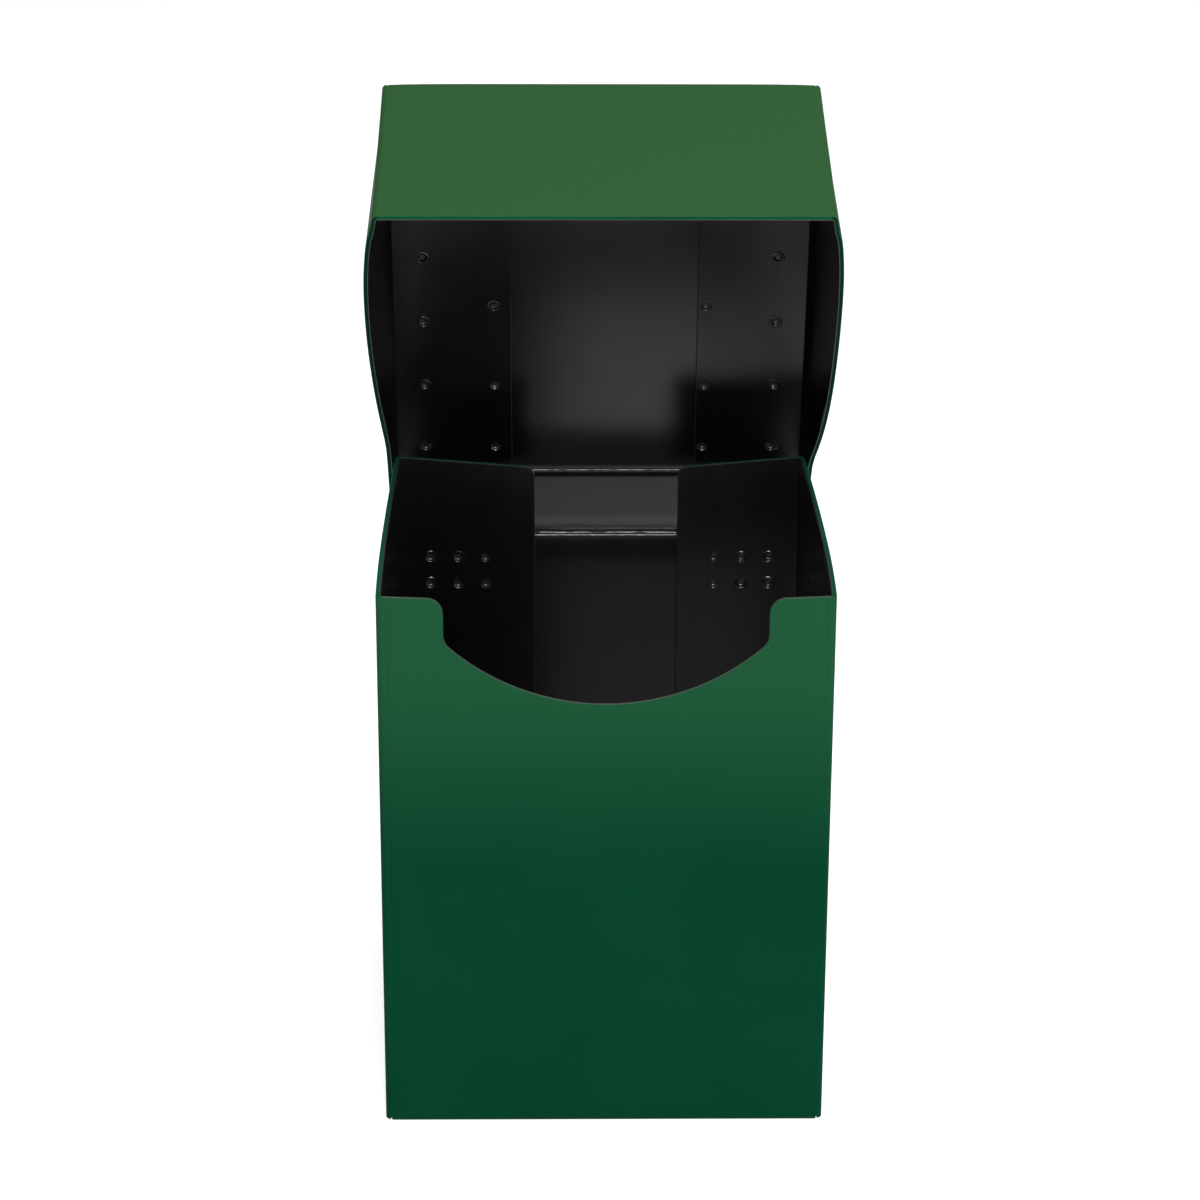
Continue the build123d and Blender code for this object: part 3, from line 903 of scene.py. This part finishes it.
def build_lid_flap():
    arc = FOLD_ARC * (1 + FLAP_LEAN / (math.pi / 2))
    centre = Vector((0, -LID_FOLD, SHEET - FOLD_OUTER))

    def surface(u, x, depth):
        rise = crown(x, -LID_FOLD) * math.exp(-max(0.0, u) / 9)
        radius = FOLD_OUTER - depth
        if u < 0:
            angle = (math.pi / 2 + FLAP_LEAN) * (1 + u / arc)
            return LID @ (centre + Vector((x, -radius * math.sin(angle), radius * math.cos(angle) + rise)))
        out = Vector((0, -math.cos(FLAP_LEAN), -math.sin(FLAP_LEAN)))
        down = Vector((0, math.sin(FLAP_LEAN), -math.cos(FLAP_LEAN)))
        wide = x * (1 + flap_splay(-u) / LID_HALF_FLAT)
        return LID @ (centre + Vector((wide, 0, rise)) + out * radius + down * u)

    def seam(u, x):
        return u < 0.01 - arc or abs(x) > LID_HALF_FLAT - 0.01

    outline = rectangle(-arc, -LID_HALF_FLAT, FLAP_HEIGHT, LID_HALF_FLAT)
    lines_u = fold_lines(spaced(0, FLAP_HEIGHT, 2.5), arc)
    lines_x = spaced(-LID_HALF_FLAT, LID_HALF_FLAT, 3)
    piece = sheet_mesh("lid_front_flap_sheet", outline, [], lines_u, lines_x, surface, seam)
    return dress(piece, SHEET_SET, "lid", ["lid_front_flap"])


def build_lid_side(side):
    name = "lid_left_side" if side < 0 else "lid_right_side"
    low, high = lid_box(name)
    top, rear = high.z, high.y
    low_rear = SHEET - REAR_TAPER
    spring = LEFT_SPRING if side < 0 else RIGHT_SPRING

    def fold_y(z):
        return -LID_FOLD - (z - SHEET + FOLD_OUTER) * math.tan(FLAP_LEAN)

    def surface(u, z, depth):
        if u < 0:
            angle = math.radians(-90 * u / FOLD_ARC)
            radius = FOLD_OUTER - depth
            across = LID_HALF_FLAT + radius * math.cos(angle) + flap_splay(z)
            return LID @ Vector((side * across, fold_y(z) - radius * math.sin(angle), z))
        free_edge = low.z + (low_rear - low.z) * min(1.0, u / (rear - fold_y(low_rear)))
        fall = min(1.0, max(0.0, (top - z) / (top - free_edge))) ** spring
        bow = lid_side_bow(side, u / LID_FOLD) * fall + flap_splay(z)
        return LID @ Vector((side * (LID_HALF_WIDTH + bow - depth), fold_y(z) + u, z))

    def seam(u, z):
        return u < 0.01 - FOLD_ARC or abs(z - top) < 0.01

    # The corner fold stops short of the top's own fold.
    corner = 0.45
    outline = rounded(
        [(-FOLD_ARC, low.z), (0, low.z), (rear - fold_y(low_rear), low_rear), (rear - fold_y(top), top),
         (0.9, top), (0.2, corner), (0.4 - FOLD_ARC, corner), (-FOLD_ARC, corner - 0.5)],
        [0, 0, 2.0, 0, 0, 0, 0, 0],
    )
    lines_u, lines_z = fold_lines(spaced(0, rear - fold_y(top), 2.5)), spaced(low.z, top, 2.5)
    piece = sheet_mesh(name + "_sheet", outline, [], lines_u, lines_z, surface, seam)
    # Painted shade on the lid's sides: a darker cut edge, and the plain black lining in place of the lining
    # edge's painted highlight.
    materials = (outside_green, painted_shade_cut, inside_black, inside_black)
    return dress(piece, materials, "lid", [name])


def build_lid_tab(side):
    name = "lid_left_tab" if side < 0 else "lid_right_tab"
    low, high = lid_box(name)
    run = LID_HALF_FLAT - min(abs(low.x), abs(high.x))

    def surface(u, y, depth):
        dome = crown(LID_HALF_FLAT - max(0.0, u), y)
        if u < 0:
            angle = math.radians(90 + 90 * u / FOLD_ARC)
            radius = FOLD_OUTER - depth
            across = LID_HALF_FLAT + radius * math.cos(angle)
            return LID @ Vector((side * across, y, radius * math.sin(angle) - FOLD_OUTER + dome))
        lift = 0.25 * (u / run) ** 4
        return LID @ Vector((side * (LID_HALF_FLAT - u), y, dome - depth - lift))

    def seam(u, y):
        return u < 0.01 - FOLD_ARC

    outline = rounded(rectangle(-FOLD_ARC, low.y, run, high.y), [0, 1.5, 1.5, 0])
    spots = weld_centres(name[:-3] + "welds", "lid")
    holes = [circle((LID_HALF_FLAT - abs(x), y), WELD_RADIUS) for x, y in spots]
    lines_u, lines_y = fold_lines(spaced(0, run, 3.5)), spaced(low.y, high.y, 4)
    piece = sheet_mesh(name + "_sheet", outline, holes, lines_u, lines_y, surface, seam)
    return dress(piece, SHEET_SET, "lid", [name])


build_front_panel()
build_back_panel()
build_bottom_panel()
build_strip()
build_lower_web()
build_upper_bead()
build_lid_top()
build_lid_flap()
for hand in (-1, 1):
    build_side_panel(hand)
    build_rear_flap(hand)
    build_bottom_flap(hand)
    build_lid_side(hand)
    build_lid_tab(hand)
build_all_welds()


# ---------------------------------------------------------------- floor, light and camera

def build_floor():
    mesh = bmesh.new()
    bmesh.ops.create_grid(mesh, x_segments=2, y_segments=2, size=3.0)
    data = bpy.data.meshes.new("floor")
    mesh.to_mesh(data)
    mesh.free()
    floor = bpy.data.objects.new("floor", data)
    bpy.context.scene.collection.objects.link(floor)
    material = bpy.data.materials.new("pale_floor")
    _, shader = node_set(material)
    shader.inputs["Base Color"].default_value = (0.5, 0.5, 0.5, 1)
    shader.inputs["Roughness"].default_value = 0.9
    shader.inputs["Specular IOR Level"].default_value = 0.0
    shader.inputs["Emission Color"].default_value = (1, 1, 1, 1)
    shader.inputs["Emission Strength"].default_value = 0.68
    data.materials.append(material)


def area_light(name, place, target, size, power, spread=180):
    """A rectangular softbox; place, target and size are in millimetres."""
    data = bpy.data.lights.new(name, "AREA")
    data.shape = "RECTANGLE"
    data.size, data.size_y = size[0] * MM, size[1] * MM
    data.energy = power
    data.spread = math.radians(spread)
    light = bpy.data.objects.new(name, data)
    light.location = Vector(place) * MM
    light.rotation_euler = (Vector(target) - Vector(place)).to_track_quat("-Z", "Y").to_euler()
    bpy.context.scene.collection.objects.link(light)
    return light


def build_light():
    world = bpy.data.worlds.new("studio")
    bpy.context.scene.world = world
    world.use_nodes = True
    background = world.node_tree.nodes["Background"]
    background.inputs["Color"].default_value = (1, 1, 1, 1)
    background.inputs["Strength"].default_value = 0.35
    area_light("top_softbox", (100, -50, 1000), (0, 0, 100), (900, 700), 7.5)
    area_light("front_softbox", (60, -840, 630), (0, 0, 80), (260, 150), 9)
    area_light("right_softbox", (950, -450, 420), (0, 0, 90), (450, 500), 4)
    # A small card low in the box, mirrored by its glossy inside and by the lid's.
    card = area_light("inner_card", (12.5, -19, 30), (12.5, 21, 70), (43, 44), 0.0008, 60)
    card.visible_camera = False


def build_camera():
    """The camera stands in front and above, turned and tilted as listed, in degrees and millimetres."""
    place = Vector((-9.055, -561.239, 280.888))
    pitch, yaw, roll = math.radians(19.857), math.radians(0.878), math.radians(0.242)
    ahead = Vector((math.sin(yaw) * math.cos(pitch), math.cos(yaw) * math.cos(pitch), -math.sin(pitch)))
    right = Vector((math.cos(yaw), -math.sin(yaw), 0))
    up = right.cross(ahead)
    across = math.cos(roll) * right + math.sin(roll) * up
    upright = math.cos(roll) * up - math.sin(roll) * right
    data = bpy.data.cameras.new("camera")
    data.sensor_width = 36
    data.lens = 106.77
    data.clip_end = 20
    camera = bpy.data.objects.new("camera", data)
    rotation = Matrix((across, upright, -ahead)).transposed().to_4x4()
    camera.matrix_world = Matrix.Translation(place * MM) @ rotation
    bpy.context.scene.collection.objects.link(camera)
    bpy.context.scene.camera = camera


build_floor()
build_light()
build_camera()
bpy.context.scene.view_settings.view_transform = "Standard"
